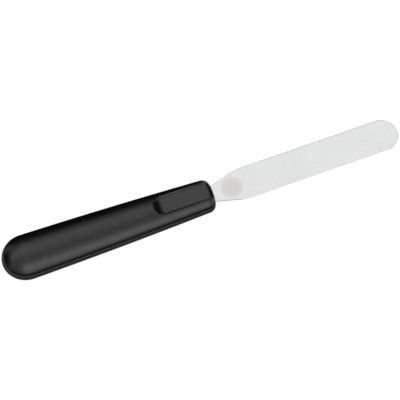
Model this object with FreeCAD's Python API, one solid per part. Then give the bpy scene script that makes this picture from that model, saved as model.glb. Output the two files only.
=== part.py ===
import FreeCAD, Part
import math
import os

# Icing spatula: a stainless blade whose tang is trapped between the two moulded shells of a handle.
# X runs from the handle's butt to the blade's tip, Y across, Z up with the thumb rest on top.
# The origin is under the middle of the overall length, on the plane of the handle's flat underside.
# Millimetres and degrees.

# Overall
OVERALL_LENGTH = 228.6
HANDLE_LENGTH = 120.7
BUTT_X = -OVERALL_LENGTH / 2
TIP_X = OVERALL_LENGTH / 2
FRONT_X = BUTT_X + HANDLE_LENGTH

# Handle, outside
FRONT_HALF_WIDTH = 9.15
REAR_HALF_WIDTH = 12.8
SIDE_BULGE = 0.45           # how far the sides stand out of a straight taper, half way along
FRONT_HEIGHT = 14.7
REAR_HEIGHT = 18.4
FRONT_BELLY_RADIUS = 5.5    # the rounding between the flat underside and the sides
REAR_BELLY_RADIUS = 6.5
FRONT_SHOULDER_RADIUS = 5.0
REAR_SHOULDER_RADIUS = 7.5
FRONT_CROWN = 3.2           # how far the arched top stands above its shoulders
REAR_CROWN = 4.0
BUTT_DEPTH = 13.7           # length of the butt, half an ellipse in plan
NOSE_RADIUS = 115.0         # the slightly convex front end, in plan
NOSE_FILLET = 3.8
SKIM = 0.05                 # cut off the belly to leave a true plane underneath
REAR_X = BUTT_X + BUTT_DEPTH

# Handle, split between the shells and wall
SPLIT_FRONT_Z = 8.7
SPLIT_BUTT_Z = 10.1
WALL = 2.2
GROOVE_HEIGHT = 1.6         # the shadow line around the split
GROOVE_DEPTH = 1.1

# Thumb rest
THUMB_LENGTH = 34.6
THUMB_HALF_WIDTH = 5.8
THUMB_FLOOR_Z = 13.0
THUMB_RAMP_RADIUS = 8.2     # the floor curves up to the rear end by this radius
THUMB_RAMP_LENGTH = 6.5
THUMB_LIP_RADIUS = 3.4      # and down at the front end by this one
THUMB_LIP_LENGTH = 2.9

# Blade
BLADE_HALF_WIDTH = 9.3
BLADE_RISE = 0.8            # degrees, tip up against the handle's underside
BLADE_MOUTH_Z = 5.8         # middle of the stock where it leaves the handle
NECK_HALF_WIDTH = 4.55
FLARE_ANGLE = 15.7
FLARE_CORNER_RADIUS = 20.0
STOCK_THICKNESS = 1.0
TIP_THICKNESS = 0.6
TANG_LENGTH = 62.0
TANG_END_RADIUS = 3.0
TANG_HOLE_RADIUS = 2.2
TANG_HOLES = (16.0, 46.0)   # distances behind the handle's front end

# Inside the shells
FIT_GAP = 0.1               # around the tang and the posts, and beside the upper shell's ribs
POST_RADIUS = 2.0
BOSS_RADIUS = 3.8
REAR_POST = 92.0            # distance behind the handle's front end
SOCKET_DEPTH = 2.2          # under the middle of the tang
RIB_THICKNESS = 1.6
RIB_PITCH = 15.0
RIB_COUNT = 7
FIRST_RIB = 8.5             # distance behind the handle's front end

BEYOND = 50.0               # how far cutting tools reach past the part
TOLERANCE = 0.001           # for picking edges by where they lie


def point(x, y, z):
    return FreeCAD.Vector(x, y, z)


UP = point(0, 0, 1)


def box(x0, x1, y0, y1, z0, z1):
    return Part.makeBox(x1 - x0, y1 - y0, z1 - z0, point(x0, y0, z0))


def column(radius, x, z0, z1):
    return Part.makeCylinder(radius, z1 - z0, point(x, 0, z0), UP)


def line(a, b):
    return Part.LineSegment(a, b).toShape()


def arc(a, mid, b):
    return Part.Arc(a, mid, b).toShape()


class Station:
    """The handle's cross-section at x, drawn inset from the outside by a wall thickness."""

    def __init__(self, x, inset):
        s = (FRONT_X - x) / (FRONT_X - REAR_X)

        def along(front, rear):
            return front + (rear - front) * s

        self.x = x
        bulge = SIDE_BULGE * 4 * s * (1 - s)
        self.side = along(FRONT_HALF_WIDTH, REAR_HALF_WIDTH) + bulge - inset
        self.belly = along(FRONT_BELLY_RADIUS, REAR_BELLY_RADIUS) - inset
        self.shoulder = along(FRONT_SHOULDER_RADIUS, REAR_SHOULDER_RADIUS) - inset
        self.crown = along(FRONT_CROWN, REAR_CROWN)
        self.bottom = inset - SKIM
        self.top = along(FRONT_HEIGHT, REAR_HEIGHT) - inset

    def at(self, y, z):
        return point(self.x, y, z)

    def half(self):
        """Edges of the +Y half, from the middle of the underside to the middle of the top."""
        belly_y = self.side - self.belly
        belly_z = self.bottom + self.belly
        shoulder_y = self.side - self.shoulder
        shoulder_z = self.top - self.crown - self.shoulder
        rise = self.shoulder + self.crown
        top_radius = (rise ** 2 + shoulder_y ** 2 - self.shoulder ** 2) / (2 * self.crown)
        lean = math.atan2(shoulder_y, top_radius - rise)
        diagonal = math.sqrt(0.5)

        def on_top(angle):
            return self.at(top_radius * math.sin(angle), self.top - top_radius * (1 - math.cos(angle)))

        def on_shoulder(angle):
            return self.at(shoulder_y + self.shoulder * math.sin(angle),
                           shoulder_z + self.shoulder * math.cos(angle))

        belly_mid = self.at(belly_y + self.belly * diagonal, belly_z - self.belly * diagonal)
        return [
            line(self.at(0, self.bottom), self.at(belly_y, self.bottom)),
            arc(self.at(belly_y, self.bottom), belly_mid, self.at(self.side, belly_z)),
            line(self.at(self.side, belly_z), self.at(self.side, shoulder_z)),
            arc(on_shoulder(math.pi / 2), on_shoulder((math.pi / 2 + lean) / 2), on_shoulder(lean)),
            arc(on_top(lean), on_top(lean / 2), on_top(0)),
        ]

    def wire(self):
        right = self.half()
        left = [edge.mirror(point(0, 0, 0), point(0, 1, 0)) for edge in reversed(right)]
        return Part.Wire(right + left)


def handle_body(inset):
    """The whole handle as one solid, drawn inset from the outside."""
    front, rear = FRONT_X - inset, REAR_X
    stations = [Station(x, inset) for x in (front, (front + rear) / 2, rear)]
    body = Part.makeLoft([station.wire() for station in stations], True)

    nose_axis_x = front - NOSE_RADIUS
    nose = Part.makeCylinder(NOSE_RADIUS, BEYOND, point(nose_axis_x, 0, -BEYOND / 2), UP)
    ahead = box(front - NOSE_RADIUS / 2, front + BEYOND, -BEYOND, BEYOND, -BEYOND / 2, BEYOND / 2)
    body = body.cut(ahead.cut(nose))
    if inset == 0:
        def on_nose(vertex):
            return abs(math.hypot(vertex.X - nose_axis_x, vertex.Y) - NOSE_RADIUS) < TOLERANCE

        rim = [edge for edge in body.Edges if all(on_nose(vertex) for vertex in edge.Vertexes)]
        body = body.makeFillet(NOSE_FILLET, rim)

    profile = stations[-1].half()
    axis_line = line(profile[-1].Vertexes[-1].Point, profile[0].Vertexes[0].Point)
    butt = Part.Face(Part.Wire(profile + [axis_line])).revolve(point(rear, 0, 0), UP, 180)
    stretch = FreeCAD.Matrix()
    stretch.move(point(-rear, 0, 0))
    stretch.scale((BUTT_DEPTH - inset) / stations[-1].side, 1, 1)
    stretch.move(point(rear, 0, 0))
    under_plane = box(BUTT_X - BEYOND, FRONT_X + BEYOND, -BEYOND, BEYOND, -BEYOND, inset)
    return body.fuse(butt.transformGeometry(stretch)).cut(under_plane).removeSplitter()


def split_z(x):
    """Height of the plane between the shells' walls."""
    return SPLIT_FRONT_Z + (SPLIT_BUTT_Z - SPLIT_FRONT_Z) * (FRONT_X - x) / HANDLE_LENGTH


def tang_z(x):
    """Height of the tang's middle plane, which also parts the shells' ribs."""
    return BLADE_MOUTH_Z - (FRONT_X - x) * math.tan(math.radians(BLADE_RISE))


def below(height_at, shift=0.0):
    """Everything under a sloping plane, moved up by shift."""
    near, far = FRONT_X + BEYOND, BUTT_X - BEYOND
    corners = [point(far, -BEYOND, -BEYOND), point(near, -BEYOND, -BEYOND),
               point(near, -BEYOND, height_at(near) + shift), point(far, -BEYOND, height_at(far) + shift)]
    side = Part.Face(Part.makePolygon(corners + corners[:1]))
    return side.extrude(point(0, 2 * BEYOND, 0))


def thumb_plan(half_width):
    """The thumb rest's outline, round at the rear and open at the front end, as an upright prism."""
    centre_x = FRONT_X - THUMB_LENGTH + THUMB_HALF_WIDTH
    round_end = column(half_width, centre_x, 0, BEYOND)
    open_end = box(centre_x, FRONT_X + BEYOND, -half_width, half_width, 0, BEYOND)
    return round_end.fuse(open_end).removeSplitter()


def thumb_hollow():
    """The cut that makes the thumb rest: level floor, curving up at the rear and down at the front."""
    ramp_x = FRONT_X - THUMB_LENGTH + THUMB_RAMP_LENGTH
    radius, diagonal = THUMB_RAMP_RADIUS, THUMB_RAMP_RADIUS * math.sqrt(0.5)
    floor, ceiling, far_x = THUMB_FLOOR_Z, THUMB_FLOOR_Z + BEYOND, FRONT_X + BEYOND
    ramp_foot = point(ramp_x, -BEYOND, floor)
    ramp_middle = point(ramp_x - diagonal, -BEYOND, floor + radius - diagonal)
    ramp_head = point(ramp_x - radius, -BEYOND, floor + radius)

    lip_angle = math.asin(THUMB_LIP_LENGTH / THUMB_LIP_RADIUS)

    def on_lip(angle):
        return point(FRONT_X - THUMB_LIP_LENGTH + THUMB_LIP_RADIUS * math.sin(angle), -BEYOND,
                     floor - THUMB_LIP_RADIUS * (1 - math.cos(angle)))

    lip_end = on_lip(lip_angle)
    corners = [lip_end, point(far_x, -BEYOND, lip_end.z), point(far_x, -BEYOND, ceiling),
               point(ramp_x - radius, -BEYOND, ceiling), ramp_head]
    edges = [line(a, b) for a, b in zip(corners, corners[1:])]
    edges += [arc(ramp_head, ramp_middle, ramp_foot), line(ramp_foot, on_lip(0)),
              arc(on_lip(0), on_lip(lip_angle / 2), lip_end)]
    side = Part.Face(Part.Wire(edges))
    return side.extrude(point(0, 2 * BEYOND, 0)).common(thumb_plan(THUMB_HALF_WIDTH))


def thumb_backing():
    """The thumb rest's outline with the wall around and under it, which the inside keeps clear of."""
    above_wall = box(BUTT_X, FRONT_X + BEYOND, -BEYOND, BEYOND, THUMB_FLOOR_Z - WALL, BEYOND)
    return thumb_plan(THUMB_HALF_WIDTH + WALL).common(above_wall)


def blade_plan():
    """Outline of the whole strip, tang included, as a face on z = 0."""
    tang_x = FRONT_X - TANG_LENGTH
    flare_length = (BLADE_HALF_WIDTH - NECK_HALF_WIDTH) / math.tan(math.radians(FLARE_ANGLE))
    flare_x = FRONT_X + flare_length
    tip_centre_x = TIP_X - BLADE_HALF_WIDTH
    neck, wide = NECK_HALF_WIDTH, BLADE_HALF_WIDTH
    corners = [(tip_centre_x, -wide), (flare_x, -wide), (FRONT_X, -neck), (tang_x, -neck),
               (tang_x, neck), (FRONT_X, neck), (flare_x, wide), (tip_centre_x, wide)]
    points = [point(x, y, 0) for x, y in corners]
    edges = [line(a, b) for a, b in zip(points, points[1:])]
    edges.append(arc(points[-1], point(TIP_X, 0, 0), points[0]))
    return Part.Face(Part.Wire(edges)), flare_x, tang_x


def blade_thickness_profile(flare_x, tang_x):
    """Side view of the strip: full stock up to the flare, then ground thinner to the tip."""
    stock, tip = STOCK_THICKNESS / 2, TIP_THICKNESS / 2
    points = [point(tang_x, 0, -stock), point(flare_x, 0, -stock), point(TIP_X, 0, -tip),
              point(TIP_X, 0, tip), point(flare_x, 0, stock), point(tang_x, 0, stock)]
    side = Part.Face(Part.makePolygon(points + points[:1]))
    side.translate(point(0, -BEYOND, 0))
    return side.extrude(point(0, 2 * BEYOND, 0))


def seat(shape):
    """Put a shape drawn on the blade's own middle plane into its place in the handle."""
    shape = shape.copy()
    shape.rotate(point(FRONT_X, 0, 0), point(0, -1, 0), BLADE_RISE)
    shape.translate(point(0, 0, BLADE_MOUTH_Z))
    return shape


def upright_edges(shape, x):
    """The edges along Z at this x."""
    def upright(size):
        return size.XLength < TOLERANCE and size.YLength < TOLERANCE and abs(size.XMin - x) < TOLERANCE

    return [edge for edge in shape.Edges if upright(edge.BoundBox)]


def make_blade():
    plan, flare_x, tang_x = blade_plan()
    plan.translate(point(0, 0, -BEYOND))
    strip = plan.extrude(point(0, 0, 2 * BEYOND))
    strip = strip.makeFillet(FLARE_CORNER_RADIUS, upright_edges(strip, flare_x))
    strip = strip.makeFillet(TANG_END_RADIUS, upright_edges(strip, tang_x))
    for distance in TANG_HOLES:
        strip = strip.cut(column(TANG_HOLE_RADIUS, FRONT_X - distance, -BEYOND, BEYOND))
    return seat(strip.common(blade_thickness_profile(flare_x, tang_x)))


def tang_space():
    """The room left for the tang between the shells, with its fit gap."""
    half_width = NECK_HALF_WIDTH + FIT_GAP
    half_height = STOCK_THICKNESS / 2 + FIT_GAP
    rear = FRONT_X - TANG_LENGTH - FIT_GAP
    return seat(box(rear, FRONT_X + BEYOND, -half_width, half_width, -half_height, half_height))


def post_places():
    return [FRONT_X - distance for distance in TANG_HOLES + (REAR_POST,)]


def inner_work(cavity):
    """The cross ribs and the round bosses that fill the cavity's section where they stand."""
    ribs = []
    for index in range(RIB_COUNT):
        x = FRONT_X - FIRST_RIB - index * RIB_PITCH
        ribs.append(box(x - RIB_THICKNESS, x, -BEYOND, BEYOND, -BEYOND, BEYOND))
    bosses = [column(BOSS_RADIUS, x, -BEYOND, BEYOND) for x in post_places()]
    return cavity.common(ribs[0].fuse(ribs[1:] + bosses))


def make_shells():
    """The walls part at the groove; the ribs and bosses part at the tang, which lies between them."""
    outside = handle_body(0)
    cavity = handle_body(WALL).cut(thumb_backing())
    below_split, below_tang = below(split_z), below(tang_z)
    groove_band = below(split_z, GROOVE_HEIGHT / 2).cut(below(split_z, -GROOVE_HEIGHT / 2))
    groove = outside.cut(handle_body(GROOVE_DEPTH)).common(groove_band)
    walls = outside.cut(groove).cut(thumb_hollow()).cut(cavity)

    work = inner_work(cavity)
    upper_work = work.cut(below_tang)
    hanging = upper_work.common(below_split).common(handle_body(WALL + FIT_GAP))
    upper = walls.cut(below_split).fuse([upper_work.cut(below_split), hanging])
    lower = walls.common(below_split).fuse(work.common(below_tang))
    upper = upper.cut(tang_space())
    lower = lower.cut(tang_space())
    for x in post_places():
        post_foot = tang_z(x) - SOCKET_DEPTH
        upper = upper.fuse(column(POST_RADIUS, x, post_foot, tang_z(x) + STOCK_THICKNESS))
        lower = lower.cut(column(POST_RADIUS + FIT_GAP, x, post_foot - FIT_GAP, tang_z(x) + FIT_GAP))
    return {"handle_upper_shell": upper.removeSplitter(), "handle_lower_shell": lower.removeSplitter()}


def main():
    os.makedirs("parts", exist_ok=True)
    parts = make_shells()
    parts["blade"] = make_blade()
    for name, shape in parts.items():
        print(name, len(shape.Solids), "solid,", round(shape.Volume), "mm3, valid:", shape.isValid())
        shape.Solids[0].exportStep("parts/" + name + ".step")


main()
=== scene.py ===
import math

import bmesh
import bpy
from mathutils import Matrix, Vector


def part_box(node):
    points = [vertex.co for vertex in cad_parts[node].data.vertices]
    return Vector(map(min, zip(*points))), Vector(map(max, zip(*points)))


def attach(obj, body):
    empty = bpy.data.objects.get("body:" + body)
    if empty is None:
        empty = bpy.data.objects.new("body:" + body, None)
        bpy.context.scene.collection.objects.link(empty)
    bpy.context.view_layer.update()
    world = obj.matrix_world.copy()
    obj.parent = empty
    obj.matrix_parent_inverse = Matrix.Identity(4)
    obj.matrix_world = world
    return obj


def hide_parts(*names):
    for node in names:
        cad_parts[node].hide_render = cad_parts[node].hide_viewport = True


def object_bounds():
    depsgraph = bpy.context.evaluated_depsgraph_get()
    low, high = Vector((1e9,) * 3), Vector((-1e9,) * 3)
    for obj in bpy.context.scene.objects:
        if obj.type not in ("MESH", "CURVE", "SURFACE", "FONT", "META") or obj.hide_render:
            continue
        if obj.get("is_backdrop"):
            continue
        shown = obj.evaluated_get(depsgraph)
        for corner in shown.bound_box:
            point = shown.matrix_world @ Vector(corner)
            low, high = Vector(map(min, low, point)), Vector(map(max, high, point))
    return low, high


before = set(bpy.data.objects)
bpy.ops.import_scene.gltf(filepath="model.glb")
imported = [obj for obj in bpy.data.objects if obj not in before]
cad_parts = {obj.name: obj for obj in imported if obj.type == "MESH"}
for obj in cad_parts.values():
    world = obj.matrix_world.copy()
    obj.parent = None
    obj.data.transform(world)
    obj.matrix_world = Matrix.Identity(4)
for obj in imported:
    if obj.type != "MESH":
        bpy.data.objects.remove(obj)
cad_low, cad_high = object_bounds()

MM = 0.001

# Places and sizes taken from the frame, in metres.
_, lower_shell_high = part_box("handle_lower_shell")
BUTT_X = cad_low.x
FRONT_X = lower_shell_high.x
TIP_X = cad_high.x
REAR_HALF_WIDTH = cad_high.y
REAR_HEIGHT = cad_high.z

# Handle.
FRONT_HALF_WIDTH = 9.15 * MM
SIDE_BULGE = 0.45 * MM         # the sides stand this far out of a straight taper, half way along
FRONT_HEIGHT = 14.7 * MM
FRONT_BELLY, REAR_BELLY = 5.5 * MM, 6.5 * MM
FRONT_SHOULDER, REAR_SHOULDER = 5.0 * MM, 7.5 * MM
FRONT_CROWN, REAR_CROWN = 3.2 * MM, 4.0 * MM
BUTT_DEPTH = 13.7 * MM
REAR_X = BUTT_X + BUTT_DEPTH
NOSE_RADIUS = 115.0 * MM
NOSE_FILLET = 3.8 * MM
NOSE_BLEND = 12.0 * MM         # the nose's curve fades out over this length
SPLIT_FRONT_Z = 8.7 * MM
SPLIT_BUTT_Z = 10.1 * MM
GROOVE_HALF = 0.8 * MM
GROOVE_DEPTH = 1.1 * MM
UPPER_LIP = 0.8 * MM           # the soft moulded edge of each shell at the groove
LOWER_LIP = 0.15 * MM

# Thumb rest.
THUMB_REAR_X = FRONT_X - 34.6 * MM
THUMB_HALF_WIDTH = 5.8 * MM
THUMB_FLOOR_Z = 13.0 * MM
THUMB_RAMP_RADIUS = 8.2 * MM
THUMB_RAMP_LENGTH = 6.5 * MM
THUMB_LIP = 3.4 * MM
THUMB_LIP_LENGTH = 2.9 * MM
THUMB_CORNER = 1.8 * MM
THUMB_CEILING = REAR_HEIGHT + 5 * MM

# Blade.
BLADE_HALF_WIDTH = 9.3 * MM
BLADE_RISE = math.radians(0.8)
BLADE_MOUTH_Z = 5.8 * MM
NECK_HALF_WIDTH = 4.55 * MM
FLARE_ANGLE = math.radians(15.7)
FLARE_CORNER = 20.0 * MM
STOCK_HALF = 0.5 * MM
TIP_HALF = 0.3 * MM
EDGE_RADIUS = 0.28 * MM
TIP_INSET = 0.01 * MM          # keeps the finer mesh inside the frame's box
TANG_X = FRONT_X - 62.0 * MM
SLOT_GAP = 0.12 * MM
SLOT_END_X = FRONT_X + 5 * MM

# The plain etched roundel on the flare.
MARK_X = FRONT_X + 11.1 * MM
MARK_RADIUS = 6.0 * MM
MARK_SOFTNESS = 0.12 * MM
RING_INNER, RING_OUTER = 0.80, 0.87    # a fainter ring, in parts of the roundel's radius
RING_FADE = 0.7

# How finely the meshes are divided.
SIDE_STATIONS = 44
FILLET_STATIONS = 8
BUTT_STEPS = 56
BUTT_SETTLING = 3              # rounds for x and the sloping split's height to agree
NOSE_COLUMNS = 16
LIP_STEPS = 6
CROWN_STEPS = 36
SIDE_STEPS = 6
BELLY_STEPS = 16
THUMB_END_STEPS, THUMB_RUN_STEPS, THUMB_LIP_STEPS = 28, 20, 12
THUMB_CORNER_STEPS, THUMB_FLOOR_STEPS = 6, 3
TIP_STEPS, BLADE_RUN_STEPS, FLARE_CORNER_STEPS, FLARE_STEPS, TANG_STEPS = 40, 30, 10, 8, 12
EDGE_STEPS, FACE_STEPS = 5, 8
WELD_DISTANCE = 0.002 * MM


def smooth(t):
    t = min(1.0, max(0.0, t))
    return t * t * (3 - 2 * t)


def spread(count):
    """count + 1 values from 0 to 1."""
    return [i / count for i in range(count + 1)]


def new_piece(name, bm, slot, nodes=()):
    """Make a piece of the object from bm, welded and with outward normals; with a slot it is hung under the
    root body and the CAD nodes it replaces are hidden.
    """
    bmesh.ops.remove_doubles(bm, verts=bm.verts, dist=WELD_DISTANCE)
    bmesh.ops.recalc_face_normals(bm, faces=bm.faces)
    mesh = bpy.data.meshes.new(name)
    bm.to_mesh(mesh)
    bm.free()
    piece = bpy.data.objects.new(name, mesh)
    bpy.context.scene.collection.objects.link(piece)
    if slot:
        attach(piece, "root")
        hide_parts(*nodes)
    return piece


def soften(piece, sharp_angle=math.radians(32)):
    """Smooth shading, broken only where two faces meet at a real edge."""
    bm = bmesh.new()
    bm.from_mesh(piece.data)
    for face in bm.faces:
        face.smooth = True
    for edge in bm.edges:
        edge.smooth = len(edge.link_faces) == 2 and edge.calc_face_angle(0.0) < sharp_angle
    bm.to_mesh(piece.data)
    bm.free()


def loft(bm, rows, closed):
    """Quads between neighbouring rows of points; closed rows join their ends."""
    grid = [[bm.verts.new(p) for p in row] for row in rows]
    for a, b in zip(grid, grid[1:]):
        count = len(a)
        for i in range(count if closed else count - 1):
            j = (i + 1) % count
            bm.faces.new((a[i], a[j], b[j], b[i]))
    return grid


def cut_away(piece, cutter):
    """Subtract the cutter from the piece, and delete the cutter."""
    modifier = piece.modifiers.new("cut", "BOOLEAN")
    modifier.operation = "DIFFERENCE"
    modifier.solver = "EXACT"
    modifier.use_self = True
    modifier.object = cutter
    depsgraph = bpy.context.evaluated_depsgraph_get()
    mesh = bpy.data.meshes.new_from_object(piece.evaluated_get(depsgraph))
    mesh.name = piece.name
    piece.modifiers.clear()
    piece.data = mesh
    bpy.data.objects.remove(cutter)


# ---------------------------------------------------------------- handle

def split_z(x):
    return SPLIT_FRONT_Z + (SPLIT_BUTT_Z - SPLIT_FRONT_Z) * (FRONT_X - x) / (FRONT_X - BUTT_X)


class Section:
    """The handle's cross-section at x, inset by a wall."""

    def __init__(self, x, inset):
        s = min(1.0, (FRONT_X - x) / (FRONT_X - REAR_X))

        def along(front, rear):
            return front + (rear - front) * s

        self.side = along(FRONT_HALF_WIDTH, REAR_HALF_WIDTH) + SIDE_BULGE * 4 * s * (1 - s) - inset
        self.belly = along(FRONT_BELLY, REAR_BELLY) - inset
        self.shoulder = along(FRONT_SHOULDER, REAR_SHOULDER) - inset
        self.crown = along(FRONT_CROWN, REAR_CROWN)
        self.bottom = inset
        self.top = along(FRONT_HEIGHT, REAR_HEIGHT) - inset

        self.belly_y, self.belly_z = self.side - self.belly, self.bottom + self.belly
        self.shoulder_y, self.shoulder_z = self.side - self.shoulder, self.top - self.crown - self.shoulder
        rise = self.shoulder + self.crown
        self.top_radius = (rise ** 2 + self.shoulder_y ** 2 - self.shoulder ** 2) / (2 * self.crown)
        self.lean = math.atan2(self.shoulder_y, self.top_radius - rise)

    def width_at(self, z):
        """Half-width at height z."""
        if z < self.belly_z:
            return self.belly_y + math.sqrt(max(0.0, self.belly ** 2 - (self.belly_z - z) ** 2))
        if z < self.shoulder_z:
            return self.side
        over = z - self.shoulder_z
        if over < self.shoulder * math.cos(self.lean):
            return self.shoulder_y + math.sqrt(max(0.0, self.shoulder ** 2 - over ** 2))
        return math.sqrt(max(0.0, self.top_radius ** 2 - (self.top_radius - (self.top - z)) ** 2))

    def on_top(self, angle):
        """(y, z) above the shoulder's centre, at this angle from the middle of the top."""
        if angle < self.lean:
            return self.top_radius * math.sin(angle), self.top - self.top_radius * (1 - math.cos(angle))
        return (self.shoulder_y + self.shoulder * math.sin(angle),
                self.shoulder_z + self.shoulder * math.cos(angle))

    def angle_at(self, z):
        """The angle on_top takes to reach height z."""
        over = (z - self.shoulder_z) / self.shoulder
        if over < math.cos(self.lean):
            return math.acos(max(0.0, over))
        return math.acos(min(1.0, 1 - (self.top - z) / self.top_radius))

    def on_belly(self, angle):
        """(y, z) on the belly's rounding, angle measured down from the side."""
        return self.belly_y + self.belly * math.cos(angle), self.belly_z - self.belly * math.sin(angle)


def nose_shift(x, y):
    """How far back a point moves for the convex front end."""
    return (NOSE_RADIUS - math.sqrt(NOSE_RADIUS ** 2 - y ** 2)) * smooth(1 - (FRONT_X - x) / NOSE_BLEND)


def side_stations(wall):
    """(x, inset) from the rear of the straight part to the front face, round its fillet."""
    front = FRONT_X - wall
    fillet = NOSE_FILLET - wall
    stations = [(REAR_X + (front - fillet - REAR_X) * t, wall) for t in spread(SIDE_STATIONS)]
    for t in spread(FILLET_STATIONS)[1:]:
        angle = math.pi / 2 * t
        stations.append((front - fillet * (1 - math.sin(angle)), wall + fillet * (1 - math.cos(angle))))
    return stations


def handle_row(profile, wall=0.0, nose_half=None):
    """One closed row of points around the handle.

    profile(section, x) gives (y, z) on the +Y half of a section; the butt is that half swept round.
    Across the nose the points spread over nose_half each way, or over the row's own half-width.
    """
    right = []
    for x, inset in side_stations(wall):
        y, z = profile(Section(x, inset), x)
        right.append(Vector((x - nose_shift(x, y), y, z)))
    rear = Section(REAR_X, wall)
    stretch = (BUTT_DEPTH - wall) / rear.side
    butt = []
    for t in spread(BUTT_STEPS)[1:-1]:
        angle = math.pi * t
        x = REAR_X
        for _ in range(BUTT_SETTLING):
            radius, z = profile(rear, x)
            x = REAR_X - stretch * radius * math.sin(angle)
        butt.append(Vector((x, radius * math.cos(angle), z)))
    left = [Vector((p.x, -p.y, p.z)) for p in right]
    front_x, front_inset = side_stations(wall)[-1]
    y, z = profile(Section(front_x, front_inset), front_x)
    nose = []
    for t in spread(NOSE_COLUMNS)[1:-1]:
        across = min(y, max(-y, (nose_half or y) * (2 * t - 1)))
        nose.append(Vector((front_x - nose_shift(front_x, across), across, z)))
    return right[::-1] + butt + left + nose


def shell_rows(is_upper):
    """Rows from the split plane, round the groove's lip and over the outside to the middle line."""
    turn = 1 if is_upper else -1
    lip = UPPER_LIP if is_upper else LOWER_LIP

    def at_split(height, wall):
        def profile(section, x):
            z = split_z(x) + turn * height
            return section.width_at(z), z
        return handle_row(profile, wall)

    rows = [at_split(GROOVE_HALF * t, GROOVE_DEPTH) for t in (0.0, 0.5, 1.0)]
    for t in spread(LIP_STEPS):
        angle = math.pi / 2 * t
        rows.append(at_split(GROOVE_HALF + lip * (1 - math.cos(angle)), lip * (1 - math.sin(angle))))
    start = GROOVE_HALF + lip

    if is_upper:
        def rising(t):
            def profile(section, x):
                angle = section.angle_at(split_z(x) + start)
                return section.on_top(angle * (1 - t))
            return handle_row(profile)
        return rows + [rising(t) for t in spread(CROWN_STEPS)[1:]]

    def down_the_side(t):
        def profile(section, x):
            z = split_z(x) - start
            z += (section.belly_z - z) * t
            return section.width_at(z), z
        return handle_row(profile)

    rows += [down_the_side(t) for t in spread(SIDE_STEPS)[1:]]

    def round_the_belly(t):
        return handle_row(lambda section, x: section.on_belly(math.pi / 2 * t))

    rows += [round_the_belly(t) for t in spread(BELLY_STEPS)[1:]]
    nose_land = Section(*side_stations(0.0)[-1]).belly_y

    def across_the_underside(t):
        return handle_row(lambda section, x: (section.belly_y * (1 - t), section.bottom), nose_half=nose_land)

    return rows + [across_the_underside(t) for t in spread(NOSE_COLUMNS // 2)[1:]]


def make_shell(name, is_upper, node):
    bm = bmesh.new()
    grid = loft(bm, shell_rows(is_upper), closed=True)
    bm.faces.new(grid[0])
    return new_piece(name, bm, "handle_plastic", [node])


def thumb_floor(x):
    """Height of the thumb rest's floor: it curves up at the rear and down at the front end."""
    ramp = THUMB_REAR_X + THUMB_RAMP_LENGTH - x
    if ramp > 0:
        return THUMB_FLOOR_Z + THUMB_RAMP_RADIUS - math.sqrt(THUMB_RAMP_RADIUS ** 2 - ramp ** 2)
    lip = min(x - (FRONT_X - THUMB_LIP_LENGTH), THUMB_LIP)
    if lip > 0:
        return THUMB_FLOOR_Z - THUMB_LIP + math.sqrt(THUMB_LIP ** 2 - lip ** 2)
    return THUMB_FLOOR_Z


def thumb_cutter():
    """The thumb rest's hollow: level floor, round rear end that ramps up, open front."""
    centre_x = THUMB_REAR_X + THUMB_HALF_WIDTH
    stations = []
    for t in spread(THUMB_END_STEPS)[1:]:
        angle = math.pi / 2 * t
        stations.append((centre_x - THUMB_HALF_WIDTH * math.cos(angle), THUMB_HALF_WIDTH * math.sin(angle)))
    lip_x = FRONT_X - THUMB_LIP_LENGTH
    stations += [(centre_x + (lip_x - centre_x) * t, THUMB_HALF_WIDTH) for t in spread(THUMB_RUN_STEPS)[1:]]
    stations += [(lip_x + THUMB_LIP * math.sin(math.pi / 2 * t), THUMB_HALF_WIDTH)
                 for t in spread(THUMB_LIP_STEPS)[1:]]
    rows = []
    for x, half_width in stations:
        floor = thumb_floor(x)
        corner = min(THUMB_CORNER, half_width * 0.9)
        right = [Vector((x, half_width, THUMB_CEILING))]
        for t in spread(THUMB_CORNER_STEPS):
            angle = math.pi / 2 * t
            right.append(Vector((x, half_width - corner * (1 - math.cos(angle)),
                                 floor + corner * (1 - math.sin(angle)))))
        flat = half_width - corner
        right += [Vector((x, flat * (1 - t), floor)) for t in spread(THUMB_FLOOR_STEPS)[1:]]
        left = [Vector((p.x, -p.y, p.z)) for p in right[-2::-1]]
        rows.append([Vector((p.x - nose_shift(p.x, p.y), p.y, p.z)) for p in right + left])
    bm = bmesh.new()
    grid = loft(bm, rows, closed=True)
    bm.faces.new(grid[0])
    bm.faces.new(grid[-1])
    return new_piece("thumb_cutter", bm, None)


# ---------------------------------------------------------------- blade

def seat(p):
    """From the blade's own middle plane, with x measured as in the row frame, to its place."""
    dx = p.x - FRONT_X
    return Vector((FRONT_X + dx * math.cos(BLADE_RISE) - p.z * math.sin(BLADE_RISE), p.y,
                   BLADE_MOUTH_Z + dx * math.sin(BLADE_RISE) + p.z * math.cos(BLADE_RISE)))


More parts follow.
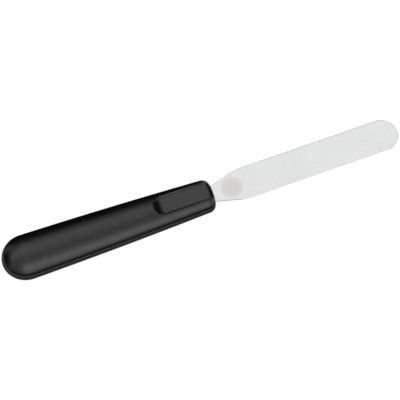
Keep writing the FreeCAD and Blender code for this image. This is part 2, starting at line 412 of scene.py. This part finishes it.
def blade_outline():
    """(x, y, outward angle) on the +Y side, from the tip round to the tang's end."""
    flare_x = FRONT_X + (BLADE_HALF_WIDTH - NECK_HALF_WIDTH) / math.tan(FLARE_ANGLE)
    tip_x = FRONT_X + (TIP_X - TIP_INSET - FRONT_X) / math.cos(BLADE_RISE)
    wide = BLADE_HALF_WIDTH
    tip_centre = tip_x - wide
    points = []
    for t in spread(TIP_STEPS):
        angle = math.pi / 2 * t
        points.append((tip_centre + wide * math.cos(angle), wide * math.sin(angle), angle))
    tangent = FLARE_CORNER * math.tan(FLARE_ANGLE / 2)
    edge_end = flare_x + tangent
    for t in spread(BLADE_RUN_STEPS)[1:-1]:
        points.append((tip_centre + (edge_end - tip_centre) * t, wide, math.pi / 2))
    for t in spread(FLARE_CORNER_STEPS):
        angle = FLARE_ANGLE * t
        points.append((edge_end - FLARE_CORNER * math.sin(angle),
                       wide - FLARE_CORNER * (1 - math.cos(angle)), math.pi / 2 + angle))
    start_x, start_y, _ = points[-1]
    for t in spread(FLARE_STEPS)[1:]:
        points.append((start_x + (FRONT_X - start_x) * t, start_y + (NECK_HALF_WIDTH - start_y) * t,
                       math.pi / 2 + FLARE_ANGLE * (1 - t ** 8)))
    for t in spread(TANG_STEPS)[1:]:
        points.append((FRONT_X + (TANG_X - FRONT_X) * t, NECK_HALF_WIDTH, math.pi / 2))
    return points, flare_x, tip_x


def blade_piece():
    outline, flare_x, tip_x = blade_outline()

    def half_thickness(x):
        return STOCK_HALF + (TIP_HALF - STOCK_HALF) * max(0.0, (x - flare_x) / (tip_x - flare_x))

    def side(turn):
        """Rows from the widest line of the edge onto the flat face on side turn, then across it."""
        rows = []
        for t in spread(EDGE_STEPS):
            angle = math.pi / 2 * t
            inset = EDGE_RADIUS * (1 - math.cos(angle))
            drop = EDGE_RADIUS * (1 - math.sin(angle))
            points = []
            for x, y, out in outline:
                px, py = x - inset * math.cos(out), max(0.0, y - inset * math.sin(out))
                points.append((px, py, turn * (half_thickness(px) - drop)))
            rows.append(points)
        inner = rows[-1]
        for t in spread(FACE_STEPS)[1:]:
            rows.append([(x, y * (1 - t), z) for x, y, z in inner])
        return rows

    def narrow_side(turn):
        """Where the strip's narrow side meets the rounded edge on side turn."""
        return [(x, y, turn * (half_thickness(x) - EDGE_RADIUS)) for x, y, _ in outline]

    bm = bmesh.new()
    for mirror in (1, -1):
        for rows in (side(1), side(-1), [narrow_side(1), narrow_side(-1)]):
            seated = [[seat(Vector((x, mirror * y, z))) for x, y, z in row] for row in rows]
            loft(bm, seated, closed=False)
    bmesh.ops.remove_doubles(bm, verts=bm.verts, dist=WELD_DISTANCE)
    open_edges = [edge for edge in bm.edges if len(edge.link_faces) == 1]
    bmesh.ops.holes_fill(bm, edges=open_edges, sides=0)
    return new_piece("spatula_blade", bm, "blade_steel", ["blade"])


def slot_cutter():
    """The room for the tang between the shells, open at the handle's mouth."""
    bm = bmesh.new()
    half_width, half_height = NECK_HALF_WIDTH + SLOT_GAP, STOCK_HALF + SLOT_GAP
    rows = []
    for x in (TANG_X - SLOT_GAP, SLOT_END_X):
        rows.append([seat(Vector((x, y * half_width, z * half_height)))
                     for y, z in ((1, 1), (-1, 1), (-1, -1), (1, -1))])
    grid = loft(bm, rows, closed=True)
    bm.faces.new(grid[0])
    bm.faces.new(grid[-1])
    return new_piece("slot_cutter", bm, None)


# ---------------------------------------------------------------- materials

class Nodes:
    """A short way to write a node tree."""

    def __init__(self, tree):
        self.tree = tree

    def node(self, kind, **settings):
        made = self.tree.nodes.new(kind)
        for key, value in settings.items():
            setattr(made, key, value)
        return made

    def link(self, source, target):
        self.tree.links.new(source, target)

    def remap(self, value, low, high, to_low=0.0, to_high=1.0, interpolation="LINEAR"):
        made = self.node("ShaderNodeMapRange", interpolation_type=interpolation)
        made.inputs["From Min"].default_value = low
        made.inputs["From Max"].default_value = high
        made.inputs["To Min"].default_value = to_low
        made.inputs["To Max"].default_value = to_high
        self.link(value, made.inputs["Value"])
        return made.outputs["Result"]

    def math(self, operation, a, b):
        made = self.node("ShaderNodeMath", operation=operation)
        for socket, value in zip(made.inputs, (a, b)):
            if isinstance(value, (int, float)):
                socket.default_value = value
            else:
                self.link(value, socket)
        return made.outputs["Value"]


class Shader(Nodes):
    """A new material's node tree."""

    def __init__(self, name):
        self.material = bpy.data.materials.new(name)
        self.material.use_nodes = True
        super().__init__(self.material.node_tree)
        self.surface = self.tree.nodes["Principled BSDF"]
        self.position = self.node("ShaderNodeTexCoord").outputs["Object"]

    def stretched(self, x, y, z):
        made = self.node("ShaderNodeMapping")
        made.inputs["Scale"].default_value = (x, y, z)
        self.link(self.position, made.inputs["Vector"])
        return made.outputs["Vector"]

    def noise(self, vector, scale, detail=3.0, roughness=0.5):
        made = self.node("ShaderNodeTexNoise")
        made.inputs["Scale"].default_value = scale
        made.inputs["Detail"].default_value = detail
        made.inputs["Roughness"].default_value = roughness
        self.link(vector, made.inputs["Vector"])
        return made.outputs["Fac"]

    def mix_colour(self, factor, a, b):
        made = self.node("ShaderNodeMix", data_type="RGBA")
        self.link(factor, made.inputs["Factor"])
        for socket, value in ((made.inputs[6], a), (made.inputs[7], b)):
            if hasattr(value, "links"):
                self.link(value, socket)
            else:
                socket.default_value = (*value, 1.0)
        return made.outputs[2]

    def bump(self, height, distance, strength=1.0, normal=None):
        made = self.node("ShaderNodeBump")
        made.inputs["Distance"].default_value = distance
        made.inputs["Strength"].default_value = strength
        self.link(height, made.inputs["Height"])
        if normal is not None:
            self.link(normal, made.inputs["Normal"])
        return made.outputs["Normal"]


def plastic_material():
    """Black moulded polypropylene: a fine sparked texture with a soft satin sheen."""
    s = Shader("handle_plastic")
    grain = s.noise(s.position, 2600.0, detail=2.0)
    mottle = s.noise(s.position, 240.0, detail=3.0)
    waves = s.noise(s.stretched(1.0, 2.0, 2.0), 55.0, detail=2.0)
    black = s.mix_colour(mottle, (0.0015, 0.0015, 0.0015), (0.0025, 0.0025, 0.0025))
    s.link(black, s.surface.inputs["Base Color"])
    worn = s.math("ADD", s.remap(mottle, 0.3, 0.7, 0.27, 0.33), s.remap(grain, 0.3, 0.7, -0.02, 0.02))
    s.link(worn, s.surface.inputs["Roughness"])
    s.surface.inputs["IOR"].default_value = 1.49
    normal = s.bump(waves, 0.06 * MM, 0.6)
    s.link(s.bump(grain, 0.012 * MM, 0.6, normal), s.surface.inputs["Normal"])
    return s.material


def steel_material():
    """Satin stainless steel with its grain along the blade, and a plain etched roundel on the flare."""
    s = Shader("blade_steel")
    grain = s.noise(s.stretched(0.02, 1.0, 1.0), 9000.0, detail=3.0)
    streaks = s.noise(s.stretched(0.05, 1.0, 1.0), 900.0, detail=3.0)
    cloud = s.noise(s.position, 60.0, detail=2.0)

    offset = s.node("ShaderNodeVectorMath", operation="SUBTRACT")
    s.link(s.position, offset.inputs[0])
    offset.inputs[1].default_value = seat(Vector((MARK_X, 0.0, 0.0)))
    flat = s.node("ShaderNodeVectorMath", operation="MULTIPLY")
    s.link(offset.outputs["Vector"], flat.inputs[0])
    flat.inputs[1].default_value = (1.0, 1.0, 0.0)
    distance = s.node("ShaderNodeVectorMath", operation="LENGTH")
    s.link(flat.outputs["Vector"], distance.inputs[0])

    def within(radius):
        """1 inside a circle of this radius round the mark's middle, and 0 outside."""
        return s.remap(distance.outputs["Value"], radius - MARK_SOFTNESS, radius + MARK_SOFTNESS, 1.0, 0.0)

    outside_inner = s.math("SUBTRACT", 1.0, within(MARK_RADIUS * RING_INNER))
    ring = s.math("MULTIPLY", outside_inner, within(MARK_RADIUS * RING_OUTER))
    outside_ring = s.math("SUBTRACT", 1.0, s.math("MULTIPLY", ring, RING_FADE))
    roundel = s.math("MULTIPLY", within(MARK_RADIUS), outside_ring)
    height = s.node("ShaderNodeSeparateXYZ")
    s.link(offset.outputs["Vector"], height.inputs["Vector"])
    on_top = s.remap(height.outputs["Z"], 0.0, 0.1 * MM)
    etched = s.math("MULTIPLY", roundel, on_top)

    steel = s.mix_colour(streaks, (0.542, 0.544, 0.546), (0.554, 0.555, 0.556))
    s.link(s.mix_colour(etched, steel, (0.585, 0.576, 0.562)), s.surface.inputs["Base Color"])
    s.surface.inputs["Metallic"].default_value = 1.0
    satin = s.math("ADD", s.remap(grain, 0.3, 0.7, 0.26, 0.34), s.remap(cloud, 0.3, 0.7, -0.02, 0.02))
    s.link(s.math("ADD", satin, s.math("MULTIPLY", etched, 0.15)), s.surface.inputs["Roughness"])
    normal = s.bump(streaks, 0.002 * MM, 0.5)
    s.link(s.bump(grain, 0.0015 * MM, 0.5, normal), s.surface.inputs["Normal"])
    return s.material


def dress(piece, material):
    piece.data.materials.clear()
    piece.data.materials.append(material)


# ---------------------------------------------------------------- build

crown = make_shell("handle_crown", True, "handle_upper_shell")
tray = make_shell("handle_tray", False, "handle_lower_shell")
cut_away(crown, thumb_cutter())
cut_away(crown, slot_cutter())
cut_away(tray, slot_cutter())
blade = blade_piece()
for piece in (crown, tray, blade):
    soften(piece)

plastic = plastic_material()
dress(crown, plastic)
dress(tray, plastic)
dress(blade, steel_material())

# ---------------------------------------------------------------- floor, light and camera

FLOOR_HALF_SIZE = 6.0
FLOOR_GREY = 0.20
FLOOR_GLOW = 0.90
CARD_START_X = FRONT_X + 14 * MM
CARD_REACH = 200 * MM          # past the blade's tip and to each side
CARD_Z = 0.2 * MM
CARD_GLOW = 1.2

# The studio's light by direction: degrees round the row's X axis from the near horizon (90 is
# straight up, 180 the far horizon), and how bright it is there.
LIGHT_AROUND = ((-180, 0.0), (-110, 0.01), (-75, 0.18), (-45, 0.2), (-20, 0.55), (0, 1.75), (16, 2.95),
                (31, 2.15), (43, 1.25), (57, 0.88), (72, 0.97), (90, 1.35), (112, 1.65), (125, 1.42),
                (140, 0.85), (152, 0.33), (163, 0.06), (174, 0.0))
BRIGHTEST = 3.0

# Ranges of a direction's X, Y or Z over which each thing comes in.
TIP_FLAG_X, TIP_FLAG_Z = (0.2, 0.5), (0.96, 0.72)
BUTT_FLAG_X, BUTT_FLAG_Z = (-0.7, -0.95), (0.5, 0.1)
PAST_ENDS_X = (0.35, 0.6)      # either way along X
STRIP_MIDDLE_Y = 0.36          # the flags work in a strip of directions round this Y
OFF_STRIP_Y = (0.22, 0.45)     # away from that middle
EVEN_LIGHT_Z = (-0.3, 0.2)
EVEN_LIGHT = (0.35, 0.8)       # its brightness at the two ends of that range
WALL_LIGHT = 0.94

CAMERA_AZIMUTH = math.radians(-20.3)
CAMERA_ELEVATION = math.radians(67.5)
LENS, SENSOR = 300.0, 36.0
VIEW_WIDTH = 0.2174            # what the picture spans at the object
AIM_LEFT, AIM_DOWN = 0.7 * MM, 2.4 * MM
CLIP_START, CLIP_END = 0.01, 100.0


def stage_piece(name, bm, grey, glow):
    """Put a plain glowing surface in the studio, outside the object; returns it and its shader."""
    mesh = bpy.data.meshes.new(name)
    bm.to_mesh(mesh)
    bm.free()
    piece = bpy.data.objects.new(name, mesh)
    bpy.context.scene.collection.objects.link(piece)
    piece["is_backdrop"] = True
    material = bpy.data.materials.new(name)
    material.use_nodes = True
    surface = material.node_tree.nodes["Principled BSDF"]
    surface.inputs["Base Color"].default_value = (grey, grey, grey, 1.0)
    surface.inputs["Emission Color"].default_value = (1.0, 1.0, 1.0, 1.0)
    surface.inputs["Emission Strength"].default_value = glow
    dress(piece, material)
    return piece, surface


def make_floor():
    """A white floor that takes the object's soft shadow and is left out of its reflections."""
    bm = bmesh.new()
    bmesh.ops.create_grid(bm, x_segments=8, y_segments=8, size=FLOOR_HALF_SIZE)
    floor, surface = stage_piece("floor", bm, FLOOR_GREY, FLOOR_GLOW)
    surface.inputs["Roughness"].default_value = 1.0
    surface.inputs["Specular IOR Level"].default_value = 0.0
    floor.visible_glossy = False


def make_bounce_card():
    """A white card on the floor under the blade, seen only in reflections, mostly by the blade's edges."""
    bm = bmesh.new()
    near_x, far_x, side = CARD_START_X, TIP_X + CARD_REACH, CARD_REACH
    corners = ((near_x, -side), (far_x, -side), (far_x, side), (near_x, side))
    bm.faces.new([bm.verts.new((x, y, CARD_Z)) for x, y in corners])
    card, _ = stage_piece("bounce_card", bm, 0.0, CARD_GLOW)
    card.visible_camera = card.visible_diffuse = card.visible_shadow = False


def light_ramp(nodes, turn):
    """LIGHT_AROUND as a colour ramp; turn is 0 and 1 at the far horizon and 0.5 at the near one."""
    ramp = nodes.node("ShaderNodeValToRGB")
    ramp.color_ramp.interpolation = "LINEAR"
    nodes.link(turn, ramp.inputs["Fac"])
    stops = ramp.color_ramp.elements
    while len(stops) > 1:
        stops.remove(stops[0])
    for index, (degrees, light) in enumerate(LIGHT_AROUND):
        place = 0.5 + degrees / 360.0
        stop = stops[0] if index == 0 else stops.new(place)
        stop.position = place
        stop.color = (light / BRIGHTEST,) * 3 + (1.0,)
    return nodes.math("MULTIPLY", ramp.outputs["Color"], BRIGHTEST)


def make_world():
    """Studio light as bright banks and dark flags around the part, each a soft shape in direction."""
    world = bpy.data.worlds.new("studio")
    bpy.context.scene.world = world
    world.use_nodes = True
    nodes = Nodes(world.node_tree)
    background = nodes.tree.nodes["Background"]
    split = nodes.node("ShaderNodeSeparateXYZ")
    nodes.link(nodes.node("ShaderNodeTexCoord").outputs["Generated"], split.inputs["Vector"])
    x, y, z = (split.outputs[axis] for axis in "XYZ")

    def soft_range(value, span, to=(0.0, 1.0)):
        return nodes.remap(value, *span, *to, interpolation="SMOOTHSTEP")

    def product(a, b):
        return nodes.math("MULTIPLY", a, b)

    def inverse(value):
        return nodes.math("SUBTRACT", 1.0, value)

    def size(value):
        return nodes.math("ABSOLUTE", value, 0.0)

    angle = nodes.math("ARCTAN2", z, product(y, -1.0))
    turn = nodes.math("ADD", nodes.math("DIVIDE", angle, 2 * math.pi), 0.5)
    tip_flag = product(soft_range(x, TIP_FLAG_X), soft_range(z, TIP_FLAG_Z))
    butt_flag = product(soft_range(x, BUTT_FLAG_X), soft_range(z, BUTT_FLAG_Z))
    banks = product(light_ramp(nodes, turn), inverse(nodes.math("MAXIMUM", tip_flag, butt_flag)))

    # past both ends the studio is evenly lit, apart from the flags' own strip of directions
    from_strip = size(nodes.math("SUBTRACT", y, STRIP_MIDDLE_Y))
    share = product(soft_range(size(x), PAST_ENDS_X), soft_range(from_strip, OFF_STRIP_Y))
    lit_ends = product(share, soft_range(z, EVEN_LIGHT_Z, EVEN_LIGHT))
    lit_banks = product(inverse(share), banks)
    nodes.link(nodes.math("ADD", lit_ends, lit_banks), background.inputs["Strength"])
    background.inputs["Color"].default_value = (1.0, 1.0, 1.0, 1.0)

    # the pale studio wall itself, as it is looked at rather than reflected
    wall = nodes.node("ShaderNodeBackground")
    wall.inputs["Strength"].default_value = 1.0
    wall.inputs["Color"].default_value = (WALL_LIGHT, WALL_LIGHT, WALL_LIGHT, 1.0)
    choose = nodes.node("ShaderNodeMixShader")
    nodes.link(nodes.node("ShaderNodeLightPath").outputs["Is Camera Ray"], choose.inputs["Fac"])
    nodes.link(background.outputs["Background"], choose.inputs[1])
    nodes.link(wall.outputs["Background"], choose.inputs[2])
    nodes.link(choose.outputs["Shader"], nodes.tree.nodes["World Output"].inputs["Surface"])


def make_camera():
    low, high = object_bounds()
    right = Vector((math.cos(CAMERA_AZIMUTH), math.sin(CAMERA_AZIMUTH), 0.0))
    back = Vector((math.sin(CAMERA_AZIMUTH) * math.cos(CAMERA_ELEVATION),
                   -math.cos(CAMERA_AZIMUTH) * math.cos(CAMERA_ELEVATION),
                   math.sin(CAMERA_ELEVATION)))
    up = back.cross(right)
    centre = (low + high) / 2 - right * AIM_LEFT - up * AIM_DOWN
    data = bpy.data.cameras.new("camera")
    data.lens, data.sensor_width = LENS, SENSOR
    data.clip_start, data.clip_end = CLIP_START, CLIP_END
    camera = bpy.data.objects.new("camera", data)
    bpy.context.scene.collection.objects.link(camera)
    camera.location = centre + back * (VIEW_WIDTH * LENS / SENSOR)
    camera.rotation_mode = "QUATERNION"
    camera.rotation_quaternion = (-back).to_track_quat("-Z", "Y")
    bpy.context.scene.camera = camera


make_floor()
make_bounce_card()
make_world()
make_camera()
bpy.context.scene.view_settings.view_transform = "Standard"
